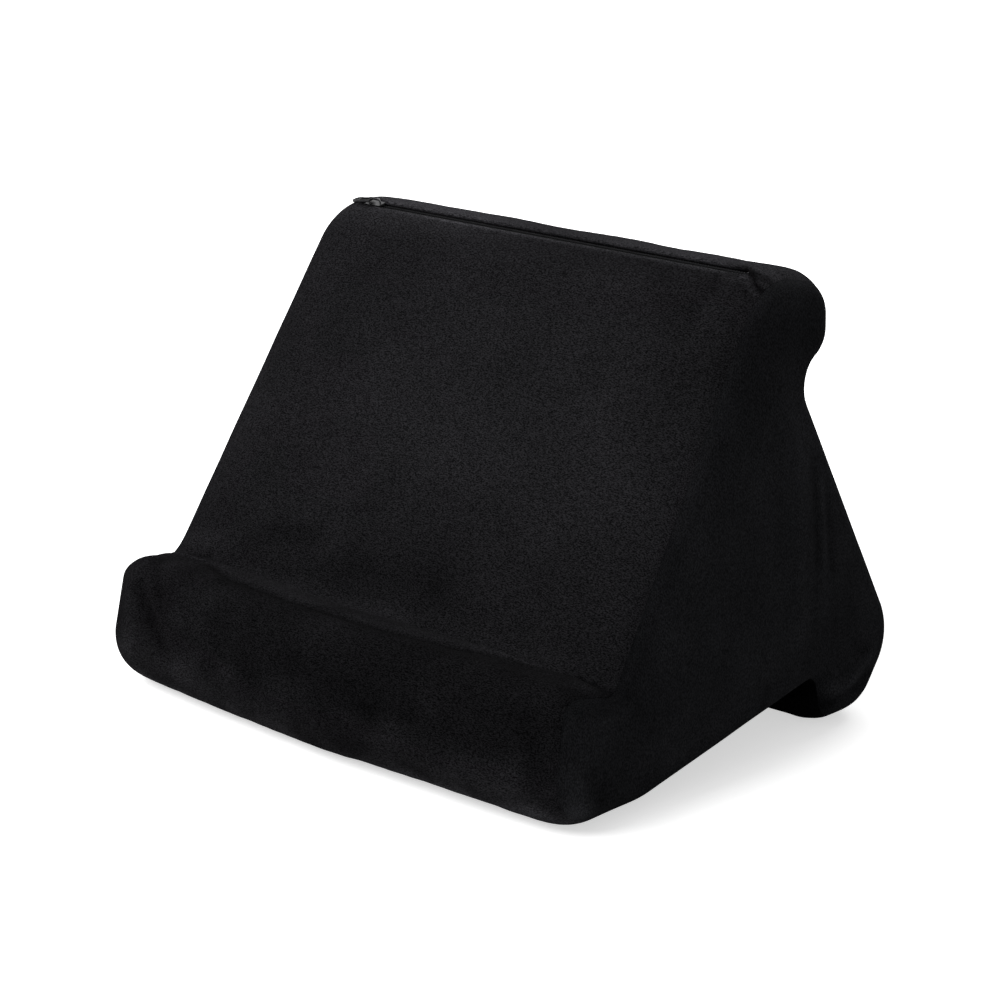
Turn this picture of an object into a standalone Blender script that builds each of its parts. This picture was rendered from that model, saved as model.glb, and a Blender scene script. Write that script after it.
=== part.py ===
"""Three-way cushion stand for a phone or tablet.

A foam block with three working faces, each with a ledge or lobe at its foot, in a
plush cover: one band that wraps the block, two end panels, and a zip along the top
front ridge. Metres, +Z up, front towards -Y, origin on the floor under the middle.
"""

import math

import bmesh
import bpy
from mathutils import Vector

# The cushion over its cover
base_width = 0.300
end_lean = 0.0565
front_bow = 0.0079
rim_length = 0.022
rim_depth = 0.0125

# The section's corners: how far ahead of or behind the seat crease, how high, how round
foot_ahead = 0.0433
foot_radius = 0.0263
tip_ahead = 0.0295
tip_height = 0.069
tip_radius = 0.0181
seat_height = 0.0562
seat_radius = 0.0063
brow_behind = 0.1097
brow_height = 0.2245
brow_radius = 0.0348
crest_behind = 0.1609
crest_height = 0.2121
crest_radius = 0.0213
lip_behind = 0.1593
lip_height = 0.179
lip_radius = 0.0222
nape_behind = 0.1403
nape_height = 0.1679
nape_radius = 0.0101
heel_behind = 0.2092
heel_height = 0.0342
heel_radius = 0.0308
ball_behind = 0.1792
ball_radius = 0.0286
toe_behind = 0.1457
toe_radius = 0.0131
arch_behind = 0.1418
arch_height = 0.0221
arch_radius = 0.002
sole_behind = 0.0194
sole_radius = 0.0622

# Cloth and the gap kept between pieces that touch
cloth_thickness = 0.0025
clearance = 0.0003
seam_turn = math.radians(45)

# The zip, measured across the ridge from where the brow's rounding starts
zip_from_brow = 0.0264
zip_gap = 0.0062
tape_width = 0.0095
tape_thickness = 0.0005
tape_split = 0.0010
tape_tail = 0.0035
coil_width = 0.0014
coil_height = 0.0012
stop_length = 0.0015
stop_height = 0.0016

# The slider and its puller
slider_length = 0.0100
slider_width = 0.0056
slider_tail_width = 0.0048
plate_thickness = 0.0008
web_thickness = 0.0004
web_length = 0.0040
flange_thickness = 0.0006
bridge_span = 0.0074
bridge_height = 0.0030
bridge_wire = 0.0009
bridge_bend = 0.0016
pivot_from_nose = 0.0025
puller_thickness = 0.0009
puller_length = 0.0125
puller_width = 0.0052
puller_neck_width = 0.0044
puller_window_width = 0.0026
puller_window_end = 0.0074
puller_eye_hole = 0.0012
puller_droop = math.radians(8)

# How finely the soft form is cut into faces
arc_points = 7
rim_steps = 3
span_steps = 6

BROW = 3
half_width = base_width / 2


def section_corners(bow):
    """The section's corners as seen from the right-hand end, clockwise from the front foot."""
    return [
        (-foot_ahead - bow, 0.0, foot_radius),
        (-tip_ahead - bow, tip_height, tip_radius),
        (0.0, seat_height, seat_radius),
        (brow_behind, brow_height, brow_radius),
        (crest_behind, crest_height, crest_radius),
        (lip_behind, lip_height, lip_radius),
        (nape_behind, nape_height, nape_radius),
        (heel_behind, heel_height, heel_radius),
        (ball_behind, 0.0, ball_radius),
        (toe_behind, 0.0, toe_radius),
        (arch_behind, arch_height, arch_radius),
        (sole_behind, 0.0, sole_radius),
    ]


def section(depth, bow):
    """The rounded section, every side moved in by depth, as points (behind, up)."""
    corners = section_corners(bow)
    count = len(corners)
    spots = [Vector(corner[:2]) for corner in corners]
    sides = [(spots[(i + 1) % count] - spots[i]) for i in range(count)]
    ways = [side.normalized() for side in sides]
    inward = [Vector((way.y, -way.x)) for way in ways]
    points = []
    for i, (_, _, radius) in enumerate(corners):
        came, went = ways[i - 1], ways[i]
        turn = came.angle_signed(went)
        convex = turn > 0
        half_tan = math.tan(abs(turn) / 2)
        room = min(sides[i - 1].length, sides[i].length) * 0.49
        radius = min(radius, room / half_tan)
        radius = max(radius - depth, clearance) if convex else radius + depth
        normals = inward[i - 1] + inward[i]
        corner = spots[i] + normals * depth / (1 + inward[i - 1].dot(inward[i]))
        start = corner - came * radius * half_tan
        side = inward[i - 1] if convex else -inward[i - 1]
        centre = start + side * radius
        spoke = start - centre
        for k in range(arc_points):
            angle = turn * k / (arc_points - 1)
            cos, sin = math.cos(-angle), math.sin(-angle)
            points.append(centre + Vector((spoke.x * cos - spoke.y * sin, spoke.x * sin + spoke.y * cos)))
    return points


reach = [point.x for point in section(0.0, front_bow)]
middle_behind = (min(reach) + max(reach)) / 2


def ring(x, depth):
    """One cut across the cushion: the section at x, bowed and leant, in space."""
    bow = front_bow * (1 - (x / half_width) ** 2)
    return [
        Vector((x * (1 - end_lean * up / half_width), behind - middle_behind, up))
        for behind, up in section(depth, bow)
    ]


def stations(depth, first_turn, last_turn, steps):
    """Places (x, section depth) round the right-hand end's rim, for a layer this deep."""
    places = []
    for k in range(steps + 1):
        turn = first_turn + (last_turn - first_turn) * k / steps
        x = half_width - rim_length + (rim_length - depth) * math.sin(turn)
        places.append((x, depth + (rim_depth - depth) * (1 - math.cos(turn))))
    return places


def both_ways(places, depth):
    """The right-hand places mirrored to the left, with the straight span between them."""
    straight = half_width - rim_length
    span = [(straight * (2 * k / span_steps - 1), depth) for k in range(1, span_steps)]
    return [(-x, inner) for x, inner in reversed(places)] + span + places


def section_place(distance):
    """Fractional index in the section's points, this far round from the brow's start."""
    points = section(0.0, 0.0)
    place = BROW * arc_points
    step = 1 if distance >= 0 else -1
    left = abs(distance)
    while True:
        length = (points[(place + step) % len(points)] - points[place % len(points)]).length
        if length >= left:
            return place + step * left / length
        left -= length
        place += step


def point_at(points, place):
    low = math.floor(place)
    return points[low % len(points)].lerp(points[(low + 1) % len(points)], place - low)


def stretch(points, start, stop):
    """The part of a closed ring of points between two fractional indices."""
    inside = range(math.floor(start) + 1, math.ceil(stop))
    inner = [points[i % len(points)] for i in inside]
    return [point_at(points, start)] + inner + [point_at(points, stop)]


def principled(name, colour, roughness, metallic=0.0):
    material = bpy.data.materials.new(name)
    material.use_nodes = True
    shader = material.node_tree.nodes["Principled BSDF"]
    shader.inputs["Base Color"].default_value = (*colour, 1.0)
    shader.inputs["Roughness"].default_value = roughness
    shader.inputs["Metallic"].default_value = metallic
    return material


def add_object(name, mesh, collection, material=None):
    obj = bpy.data.objects.new(name, mesh)
    collection.objects.link(obj)
    if material:
        obj.data.materials.append(material)
    return obj


def skin(bm, rows, closed):
    """Quads between each row of vertices and the next."""
    count = len(rows[0])
    for near, far in zip(rows, rows[1:]):
        for i in range(count if closed else count - 1):
            j = (i + 1) % count
            bm.faces.new((near[i], near[j], far[j], far[i]))


def finished(bm, name):
    bmesh.ops.recalc_face_normals(bm, faces=bm.faces)
    mesh = bpy.data.meshes.new(name)
    bm.to_mesh(mesh)
    bm.free()
    return mesh


def loft(name, rings):
    """A solid through rings of points, flat at its first and last ring."""
    bm = bmesh.new()
    rows = [[bm.verts.new(point) for point in points] for points in rings]
    skin(bm, rows, closed=True)
    bm.faces.new(rows[0])
    bm.faces.new(rows[-1])
    return finished(bm, name)


def cloth(name, outer_rings, inner_rings, closed=True, cap=None):
    """A wall between two sets of rings; cap is the index of the ring it is closed across."""
    bm = bmesh.new()
    outer = [[bm.verts.new(point) for point in points] for points in outer_rings]
    inner = [[bm.verts.new(point) for point in points] for points in inner_rings]
    skin(bm, outer, closed)
    skin(bm, inner, closed)
    for end in (0, -1):
        if end == cap:
            bm.faces.new(outer[end])
            bm.faces.new(inner[end])
        else:
            skin(bm, [outer[end], inner[end]], closed)
    if not closed:
        for edge in (0, -1):
            skin(bm, [[row[edge] for row in outer], [row[edge] for row in inner]], closed)
    return finished(bm, name)


def smooth(obj, angle):
    obj.data.shade_smooth()
    obj.data.set_sharp_from_angle(angle=math.radians(angle))


def ridge_strip(name, start, stop, top, bottom, first_x, last_x):
    """A straight strip along the ridge, between two places round it and two depths."""
    rings = []
    for x in (first_x, last_x):
        upper = stretch(section(top, 0.0), start, stop)
        lower = stretch(section(bottom, 0.0), start, stop)
        rings.append([Vector((x, p.x - middle_behind, p.y)) for p in upper + lower[::-1]])
    return loft(name, rings)


def flat_piece(name, outlines, thickness, collection):
    """A flat outline with its holes, extruded evenly about its plane, as a mesh object."""
    curve = bpy.data.curves.new(name, "CURVE")
    curve.dimensions = "2D"
    curve.fill_mode = "BOTH"
    curve.extrude = thickness / 2
    for outline in outlines:
        spline = curve.splines.new("POLY")
        spline.points.add(len(outline) - 1)
        for point, (x, y) in zip(spline.points, outline):
            point.co = (x, y, 0.0, 1.0)
        spline.use_cyclic_u = True
    return as_mesh(add_object(name + "_outline", curve, collection), name, collection)


def as_mesh(curve_object, name, collection):
    """The curve's solid as a mesh object with its caps welded, in the curve's place."""
    bpy.context.view_layer.update()
    graph = bpy.context.evaluated_depsgraph_get()
    mesh = bpy.data.meshes.new_from_object(curve_object.evaluated_get(graph))
    bm = bmesh.new()
    bm.from_mesh(mesh)
    bmesh.ops.remove_doubles(bm, verts=bm.verts, dist=1e-6)
    bmesh.ops.recalc_face_normals(bm, faces=bm.faces)
    bm.to_mesh(mesh)
    bm.free()
    obj = add_object(name, mesh, collection)
    obj.matrix_world = curve_object.matrix_world
    bpy.data.objects.remove(curve_object, do_unlink=True)
    return obj


def box(name, size, centre, collection):
    bm = bmesh.new()
    bmesh.ops.create_cube(bm, size=1.0)
    bmesh.ops.scale(bm, vec=size, verts=bm.verts)
    bmesh.ops.translate(bm, vec=centre, verts=bm.verts)
    mesh = bpy.data.meshes.new(name)
    bm.to_mesh(mesh)
    bm.free()
    return add_object(name, mesh, collection)


def boolean(obj, other, operation, cutters):
    modifier = obj.modifiers.new(other.name, "BOOLEAN")
    modifier.operation = operation
    modifier.object = other
    for holder in list(other.users_collection):
        holder.objects.unlink(other)
    cutters.objects.link(other)
    other.hide_render = True
    other.display_type = "WIRE"


def arc(centre, radius, first, last, steps):
    """Points round an arc in the flat, from one angle to another in degrees."""
    turns = [math.radians(first + (last - first) * k / steps) for k in range(steps + 1)]
    return [(centre[0] + radius * math.cos(t), centre[1] + radius * math.sin(t)) for t in turns]


def build_cover(collection, plush):
    """The band round the foam, slit along the zip, and the two end panels sewn to it."""
    seam_radius = math.hypot(rim_length * math.cos(seam_turn), rim_depth * math.sin(seam_turn))
    half_seam = clearance / 2 / seam_radius
    front_hem = section_place(zip_from_brow - zip_gap / 2)
    rear_hem = section_place(zip_from_brow + zip_gap / 2)
    band, right, left = [], [], []
    for depth in (0.0, cloth_thickness):
        places = both_ways(stations(depth, 0.0, seam_turn - half_seam, rim_steps), depth)
        rings = [ring(x, inner) for x, inner in places]
        band.append([stretch(points, rear_hem, front_hem + len(points)) for points in rings])
        places = stations(depth, seam_turn + half_seam, math.pi / 2, rim_steps)
        right.append([ring(x, inner) for x, inner in places])
        left.append([ring(-x, inner) for x, inner in places])
    meshes = [cloth("cover_band", *band, closed=False)]
    meshes += [cloth("end_panel_right", *right, cap=-1), cloth("end_panel_left", *left, cap=-1)]
    for mesh in meshes:
        smooth(add_object(mesh.name, mesh, collection, plush), 40)


def build_core(collection, cutters, foam, slider_floor):
    """The foam block, a close fit in the cover, relieved where the zip lies against it."""
    depth = cloth_thickness + clearance
    places = both_ways(stations(depth, 0.0, math.pi / 2, 2 * rim_steps - 1), depth)
    rings = [ring(x, inner) for x, inner in places]
    mesh = loft("foam_core", rings)
    core = add_object("foam_core", mesh, collection, foam)
    spread = tape_width + clearance
    start, stop = section_place(zip_from_brow - spread), section_place(zip_from_brow + spread)
    tape_floor = depth + tape_thickness + clearance
    end = zip_half + tape_tail + clearance
    relief = ridge_strip("tape_relief", start, stop, cloth_thickness - clearance, tape_floor, -end, end)
    boolean(core, add_object("tape_relief", relief, cutters), "DIFFERENCE", cutters)
    groove_floor = slider_floor + clearance
    spread = (slider_width / 2 + clearance) * brow_radius / (brow_radius - groove_floor)
    start, stop = section_place(zip_from_brow - spread), section_place(zip_from_brow + spread)
    groove = ridge_strip("slider_groove", start, stop, depth, groove_floor, -end, end)
    boolean(core, add_object("slider_groove", groove, cutters), "DIFFERENCE", cutters)
    smooth(core, 40)


def build_chain(collection, woven, coil, metal):
    """The two tapes with their coils, and the stops that end the slider's travel."""
    tape_top = cloth_thickness + clearance
    coil_bottom = tape_top - clearance
    tape_end = zip_half + tape_tail
    stop_end = tape_end - clearance
    coil_end = stop_end - stop_length - clearance
    for side, way in (("front", -1), ("rear", 1)):
        inner, outer = way * tape_split / 2, way * tape_width
        start, stop = sorted((zip_from_brow + inner, zip_from_brow + outer))
        start, stop = section_place(start), section_place(stop)
        name = "zip_tape_" + side
        mesh = ridge_strip(name, start, stop, tape_top, tape_top + tape_thickness, -tape_end, tape_end)
        add_object(name, mesh, collection, woven)
        outer = way * (tape_split / 2 + coil_width)
        start, stop = sorted((zip_from_brow + inner, zip_from_brow + outer))
        start, stop = section_place(start), section_place(stop)
        name = "zip_coil_" + side
        mesh = ridge_strip(name, start, stop, coil_bottom - coil_height, coil_bottom, -coil_end, coil_end)
        add_object(name, mesh, collection, coil)
        name = "zip_top_stop_" + side
        mesh = ridge_strip(name, start, stop, coil_bottom - stop_height, coil_bottom, -stop_end, stop_length - stop_end)
        add_object(name, mesh, collection, metal)
    spread = tape_split / 2 + coil_width
    start, stop = section_place(zip_from_brow - spread), section_place(zip_from_brow + spread)
    name = "zip_bottom_stop"
    mesh = ridge_strip(name, start, stop, coil_bottom - stop_height, coil_bottom, stop_end - stop_length, stop_end)
    add_object(name, mesh, collection, metal)


def build_slider(collection, cutters, metal, parent):
    """Two shield-shaped plates joined by a web between the coils, with a wire bridge on top."""
    coil_top = coil_height - cloth_thickness
    top_middle = coil_top + clearance + plate_thickness / 2
    half_length, half_nose, half_tail = slider_length / 2, slider_width / 2, slider_tail_width / 2
    bend = flange_thickness
    nose = [(-half_length, -half_nose + bend), (-half_length, half_nose - bend)]
    shoulders = [(-half_length + bend, half_nose), (half_length - bend, half_tail)]
    tail = [(half_length, half_tail - bend), (half_length, bend - half_tail)]
    far = [(half_length - bend, -half_tail), (-half_length + bend, -half_nose)]
    outline = nose + shoulders + tail + far
    slider = flat_piece("zip_slider", [outline], plate_thickness, collection)
    slider.data.transform(slider.matrix_world)
    for vertex in slider.data.vertices:
        vertex.co.z += top_middle
    bottom_middle = slider_bottom + plate_thickness / 2
    lower = flat_piece("slider_lower_plate", [outline], plate_thickness, cutters)
    for vertex in lower.data.vertices:
        vertex.co.z += bottom_middle
    web = box(
        "slider_web",
        (web_length, web_thickness, top_middle - bottom_middle),
        (0.0, 0.0, (top_middle + bottom_middle) / 2),
        cutters,
    )
    flange_foot = -cloth_thickness
    flange_height = top_middle - flange_foot
    pieces = [lower, web]
    for side, way in (("front", -1), ("rear", 1)):
        edge = [(x, way * y) for x, y in shoulders]
        inner = [(x, y - way * flange_thickness) for x, y in reversed(edge)]
        flange = flat_piece("slider_flange_" + side, [edge + inner], flange_height, cutters)
        for vertex in flange.data.vertices:
            vertex.co.z += flange_foot + flange_height / 2
        pieces.append(flange)
    pieces.append(build_bridge(top_middle, cutters))
    for piece in pieces:
        piece.parent = parent
        piece.location = (slider_x, 0.0, 0.0)
        boolean(slider, piece, "UNION", cutters)
    slider.data.materials.append(metal)
    slider.parent = parent
    slider.location = (slider_x, 0.0, 0.0)
    return slider


def build_bridge(top_middle, cutters):
    """The bent wire that the puller hangs from."""
    left = -bridge_span / 2
    top = top_middle + bridge_height
    rise = [(left, top_middle)]
    first = arc((left + bridge_bend, top - bridge_bend), bridge_bend, 180, 90, 4)
    last = [(-x, z) for x, z in reversed(first)]
    path = rise + first + last + [(-left, top_middle)]
    curve = bpy.data.curves.new("slider_bridge", "CURVE")
    curve.dimensions = "3D"
    curve.bevel_depth = bridge_wire / 2
    curve.bevel_resolution = 1
    curve.use_fill_caps = True
    spline = curve.splines.new("POLY")
    spline.points.add(len(path) - 1)
    for point, (x, z) in zip(spline.points, path):
        point.co = (x, 0.0, z, 1.0)
    return as_mesh(add_object("slider_bridge_wire", curve, cutters), "slider_bridge", cutters)


def build_puller(collection, metal, slider):
    """A flat tab whose window goes round the bridge, hung on the bar at the window's end."""
    bar = puller_thickness / 2
    neck, tab = puller_neck_width / 2, puller_width / 2
    tip = -puller_length + tab
    upper = [(bar, neck), (-puller_window_end, neck), (-puller_window_end - (tab - neck) * 2, tab)]
    end = arc((tip, 0.0), tab, 90, 270, 8)
    outline = upper + end + [(x, -y) for x, y in reversed(upper)]
    window = puller_window_width / 2
    opening = [(-bar, window), (-puller_window_end, window), (-puller_window_end, -window), (-bar, -window)]
    hole = arc((tip, 0.0), puller_eye_hole, 0, 315, 7)
    puller = flat_piece("zip_puller", [outline, opening, hole], puller_thickness, collection)
    puller.data.materials.append(metal)
    puller.parent = slider
    puller.location = (pivot_from_nose - slider_length / 2, 0.0, pivot_height)
    puller.rotation_euler = (0.0, -puller_droop, 0.0)
    return puller


for old in list(bpy.data.objects):
    bpy.data.objects.remove(old, do_unlink=True)

parts = bpy.data.collections.new("cushion_stand")
helpers = bpy.data.collections.new("cutters")
bpy.context.scene.collection.children.link(parts)
bpy.context.scene.collection.children.link(helpers)

black_plush = principled("black_plush", (0.0135, 0.0125, 0.0145), 0.95)
foam_grey = principled("foam_grey", (0.32, 0.32, 0.33), 0.9)
black_tape = principled("black_tape", (0.012, 0.012, 0.013), 0.85)
black_coil = principled("black_coil", (0.02, 0.02, 0.021), 0.45)
black_nickel = principled("black_nickel", (0.12, 0.12, 0.125), 0.35, 1.0)

# The zip's line: where it crosses the section, and how the ridge slopes there
zip_place = section_place(zip_from_brow)
outer_section = section(0.0, 0.0)
zip_point = point_at(outer_section, zip_place)
zip_way = (point_at(outer_section, zip_place + 0.5) - point_at(outer_section, zip_place - 0.5)).normalized()
zip_half = (half_width - rim_length) * (1 - end_lean * zip_point.y / half_width)
slider_bottom = -(cloth_thickness + clearance + tape_thickness + clearance + plate_thickness)
slider_x = -(zip_half + tape_tail - clearance - stop_length - clearance) + slider_length / 2
pivot_height = coil_height - cloth_thickness + clearance + plate_thickness / 2 + bridge_height
pivot_height -= bridge_wire / 2 + clearance + puller_thickness / 2

zip_line = bpy.data.objects.new("zip_line", None)
parts.objects.link(zip_line)
zip_line.location = (0.0, zip_point.x - middle_behind, zip_point.y)
zip_line.rotation_euler = (math.atan2(zip_way.y, zip_way.x), 0.0, 0.0)
zip_line.empty_display_size = 0.02

build_cover(parts, black_plush)
build_core(parts, helpers, foam_grey, -slider_bottom)
build_chain(parts, black_tape, black_coil, black_nickel)
zip_slider = build_slider(parts, helpers, black_nickel, zip_line)
build_puller(parts, black_nickel, zip_slider)
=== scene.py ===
"""Looks of the three-way cushion stand: plush cover, seams, hems, coil zip and studio."""

import math

import bpy
import numpy as np
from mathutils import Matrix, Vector, noise
from mathutils.geometry import delaunay_2d_cdt
from mathutils.kdtree import KDTree


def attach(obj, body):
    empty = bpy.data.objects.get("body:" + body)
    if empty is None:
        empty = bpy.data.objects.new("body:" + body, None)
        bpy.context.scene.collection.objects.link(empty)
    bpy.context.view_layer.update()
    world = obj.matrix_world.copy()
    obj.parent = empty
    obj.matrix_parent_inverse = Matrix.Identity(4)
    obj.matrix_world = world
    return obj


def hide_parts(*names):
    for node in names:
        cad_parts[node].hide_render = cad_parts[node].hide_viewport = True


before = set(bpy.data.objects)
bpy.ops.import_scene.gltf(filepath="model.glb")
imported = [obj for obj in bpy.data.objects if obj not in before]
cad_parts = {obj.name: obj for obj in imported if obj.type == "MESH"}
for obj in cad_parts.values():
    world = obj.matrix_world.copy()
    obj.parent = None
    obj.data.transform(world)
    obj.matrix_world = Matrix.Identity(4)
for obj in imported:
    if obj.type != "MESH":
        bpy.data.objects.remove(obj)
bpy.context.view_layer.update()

# The cushion's sizes, in metres
BASE_WIDTH = 0.300
END_LEAN = 0.0565
FRONT_BOW = 0.0079
RIM_LENGTH = 0.022
RIM_DEPTH = 0.0125
HALF = BASE_WIDTH / 2
SEAM_TURN = math.radians(48)

# The section's corners: behind the seat crease, up, radius
CORNERS = {
    "foot": (-0.0433, 0.0, 0.0263),
    "tip": (-0.0295, 0.069, 0.0181),
    "seat": (0.0, 0.0562, 0.0063),
    "brow": (0.1097, 0.2245, 0.0348),
    "crest": (0.1609, 0.2121, 0.0213),
    "lip": (0.1593, 0.179, 0.0222),
    "nape": (0.1403, 0.1679, 0.0101),
    "heel": (0.2092, 0.0342, 0.0308),
    "ball": (0.1792, 0.0, 0.0286),
    "toe": (0.1457, 0.0, 0.0131),
    "arch": (0.1418, 0.0221, 0.002),
    "sole": (0.0194, 0.0, 0.0622),
}
NAMES = list(CORNERS)
BOWED = ("foot", "tip")
LEAST_RADIUS = 0.0003
ROOM_SHARE = 0.49
LEAST_ARC_STEPS = 6

# The meshes' spacing
GRID = 0.0018
STATION_STEP = GRID * 1.15
PANEL_GRID = 0.0024

# The seam between the band and an end
SEAM_DIP = 0.00015
SEAM_TUCK = 0.003
SEAM_STRIPS = 5
SEAM_ROLL_OUT = 0.0003
SEAM_ROLL_DOWN = 0.0004

# The zip, along the section from where the brow's rounding starts
ZIP_FROM_BROW = 0.0264
ZIP_GAP = 0.0086
RIDGE_HEIGHT = 0.218
HEM_ROLL = 0.0012
HEM_TUCK = 0.006
HEM_TUCK_DROP = 0.0002
HEM_FOLD_STEPS = 8
HEM_TUCK_STEPS = 3
HEM_STRIPS = HEM_FOLD_STEPS + HEM_TUCK_STEPS
ZIP_SEAT = (0.038605, 0.218598)
ACROSS = (0.9729, 0.231224)
OUTWARD = (-0.231224, 0.9729)
ZIP_HALF = 0.1175

# How a hem's ends close past the zip: from and to this far past it, and how far they turn down
RIGHT_CLOSING = (0.0009, 0.0030, 0.008)
LEFT_CLOSING = (0.001, 0.0065, 0.003)
TURN_DOWN_FROM = 0.001
TURN_DOWN_OVER = 0.012
ROLL_THINS = (0.006, 0.013)

# The coil's rows: how far each lies from the middle and under the cloth, and its wire
COIL_APART = 0.0012
COIL_DEPTH = 0.0019
COIL_HALF_WIDTH = 0.0007
COIL_HALF_HEIGHT = 0.0006
COIL_PAST_ZIP = 0.0012
COIL_PITCH = 0.00145
COIL_WIRE = 0.0003
COIL_STEPS = 12
COIL_SIDES = 5

# An end panel's heights for its painted light and shade, in metres up, and its crown
END_FOOT = (0.08, 0.16)
END_TOP = (0.196, 0.212)
END_UNDER_TOP = 0.182
END_MIDDLE = 0.140
END_CROWN = 0.0012
END_CROWN_SLOPE = 0.018

# How far the foam block lies inside the cover: at each end, and all round
FOAM_SHORTER = 0.008
FOAM_DEEPER = 0.009

# The cloth simulation of the filled cover
CLOTH_GRID = 0.005
CLOTH_STEPS = 20
CLOTH_PRESSURE = 0.3
CLOTH_REACH = 0.0025
CLOTH_STIFFNESS = 2.0
CLOTH_NEIGHBOURS = 8
HELD_BY_ZIP = 0.014
HELD_BY_CREASE = 0.012


def corner_spots(bow):
    """The section's corners before rounding, the front ones moved out by the bow."""
    spots = []
    for name, (behind, up, _) in CORNERS.items():
        spots.append((behind - bow if name in BOWED else behind, up))
    return np.array(spots)


def frame_of_section(bow):
    """Side directions, inward normals and lengths of the section's polygon."""
    spots = corner_spots(bow)
    sides = np.roll(spots, -1, 0) - spots
    lengths = np.linalg.norm(sides, axis=1)
    ways = sides / lengths[:, None]
    return spots, ways, np.stack([ways[:, 1], -ways[:, 0]], 1), lengths


def roundings(ways, lengths):
    """Each corner's turn, the tangent of half of it, and the radius that its sides have room for."""
    found = []
    for i, name in enumerate(NAMES):
        came, went = ways[i - 1], ways[i]
        turn = math.atan2(came[1] * went[0] - came[0] * went[1], came @ went)
        half_tan = math.tan(abs(turn) / 2)
        room = min(lengths[i - 1], lengths[i]) * ROOM_SHARE
        found.append((turn, half_tan, min(CORNERS[name][2], room / half_tan)))
    return found


def nominal_counts():
    """How many points each rounding and each straight side gets."""
    _, ways, _, lengths = frame_of_section(0.0)
    arcs, tangents = [], []
    for turn, half_tan, radius in roundings(ways, lengths):
        arcs.append(max(LEAST_ARC_STEPS, math.ceil(radius * abs(turn) / GRID)))
        tangents.append(radius * half_tan)
    straights = []
    for i in range(len(NAMES)):
        left = lengths[i] - tangents[i] - tangents[(i + 1) % len(NAMES)]
        straights.append(max(1, math.ceil(left / GRID)))
    return arcs, straights


ARCS, STRAIGHTS = nominal_counts()


def section(depth, bow):
    """The rounded section, every side moved in by depth: points (behind, up), clockwise."""
    spots, ways, inward, lengths = frame_of_section(bow)
    arcs = []
    for i, (turn, half_tan, radius) in enumerate(roundings(ways, lengths)):
        radius = max(radius - depth, LEAST_RADIUS) if turn > 0 else radius + depth
        normals = inward[i - 1] + inward[i]
        corner = spots[i] + normals * depth / (1 + inward[i - 1] @ inward[i])
        start = corner - ways[i - 1] * radius * half_tan
        centre = start + (inward[i - 1] if turn > 0 else -inward[i - 1]) * radius
        spoke = start - centre
        angles = -turn * np.arange(ARCS[i] + 1) / ARCS[i]
        cos, sin = np.cos(angles), np.sin(angles)
        turned = np.stack([spoke[0] * cos - spoke[1] * sin, spoke[0] * sin + spoke[1] * cos], 1)
        arcs.append(centre + turned)
    points = []
    for i, arc in enumerate(arcs):
        following = arcs[(i + 1) % len(arcs)][0]
        shares = np.arange(1, STRAIGHTS[i])[:, None] / STRAIGHTS[i]
        points += [arc, arc[-1] + (following - arc[-1]) * shares]
    return np.concatenate(points)


def corner_index(name):
    """Where this corner's rounding starts in the section's points."""
    at = NAMES.index(name)
    return sum(ARCS[:at]) + at + sum(STRAIGHTS[:at]) - at


def corner_run(name):
    """Distance round the section to the middle of this corner's rounding."""
    middle = corner_index(name) + ARCS[NAMES.index(name)] / 2
    return float(np.interp(middle, np.arange(COUNT + 1), RUN))


NOMINAL = section(0.0, 0.0)
COUNT = len(NOMINAL)
STEPS = np.linalg.norm(np.roll(NOMINAL, -1, 0) - NOMINAL, axis=1)
RUN = np.concatenate([[0.0], np.cumsum(STEPS)])
SEAT_RUN = corner_run("seat")
BOWED_REACH = section(0.0, FRONT_BOW)[:, 0]
MIDDLE = (BOWED_REACH.min() + BOWED_REACH.max()) / 2
BROW_RUN = RUN[corner_index("brow")]


def index_at(run):
    """Fractional index of the point this far round the section from its first point."""
    return float(np.interp(run, RUN, np.arange(COUNT + 1)))


def run_at(index):
    """Distance round the section, growing past one whole turn."""
    turns, rest = np.divmod(index, COUNT)
    return turns * RUN[-1] + np.interp(rest, np.arange(COUNT + 1), RUN)


def sample(points, indices):
    """Points at fractional indices of a closed ring."""
    low = np.floor(indices).astype(int)
    share = (indices - low)[:, None]
    return points[low % COUNT] * (1 - share) + points[(low + 1) % COUNT] * share


def place(x, flat):
    """Section points at station x, leant and put in the part's frame."""
    return np.stack([x * (1 - END_LEAN * flat[:, 1] / HALF), flat[:, 0] - MIDDLE, flat[:, 1]], 1)


def bow_at(x):
    """How far the front stands out at station x."""
    return FRONT_BOW * (1 - (x / HALF) ** 2)


def rim_station(turn):
    """(x, section depth) this far round the right-hand end's rounding."""
    return HALF - RIM_LENGTH + RIM_LENGTH * math.sin(turn), RIM_DEPTH * (1 - math.cos(turn))


def mirrored(rim, span=()):
    """Stations from the left end's rounding, over the span, to the right end's."""
    return [(-x, depth) for x, depth in reversed(rim)] + list(span) + rim


def soft_noise(points, size, seed):
    """Smooth noise, about -1 to 1, with features of this size, at each point."""
    shift = Vector((seed * 7.13, seed * 3.71, seed * 5.37))
    return np.array([noise.noise(Vector(p) / size + shift) for p in points])


def bell(value, centre, width):
    """1 at the centre, falling to nearly 0 at twice the width."""
    return np.exp(-(((value - centre) / width) ** 2))


def rise(value, low, high):
    """0 up to low, 1 from high, and smooth between."""
    t = np.clip((value - low) / (high - low), 0, 1)
    return t * t * (3 - 2 * t)


def plateau(value, low, full, waning, high):
    """1 between full and waning, smoothly down to 0 at low and high."""
    return rise(value, low, full) * (1 - rise(value, waning, high))


def grid_normals(points):
    """Unit normals of a grid of points, pointing out of the cushion."""
    along = np.gradient(points, axis=0)
    around = np.gradient(points, axis=1)
    normals = np.cross(along, around)
    return normals / np.maximum(np.linalg.norm(normals, axis=2, keepdims=True), 1e-12)


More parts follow.
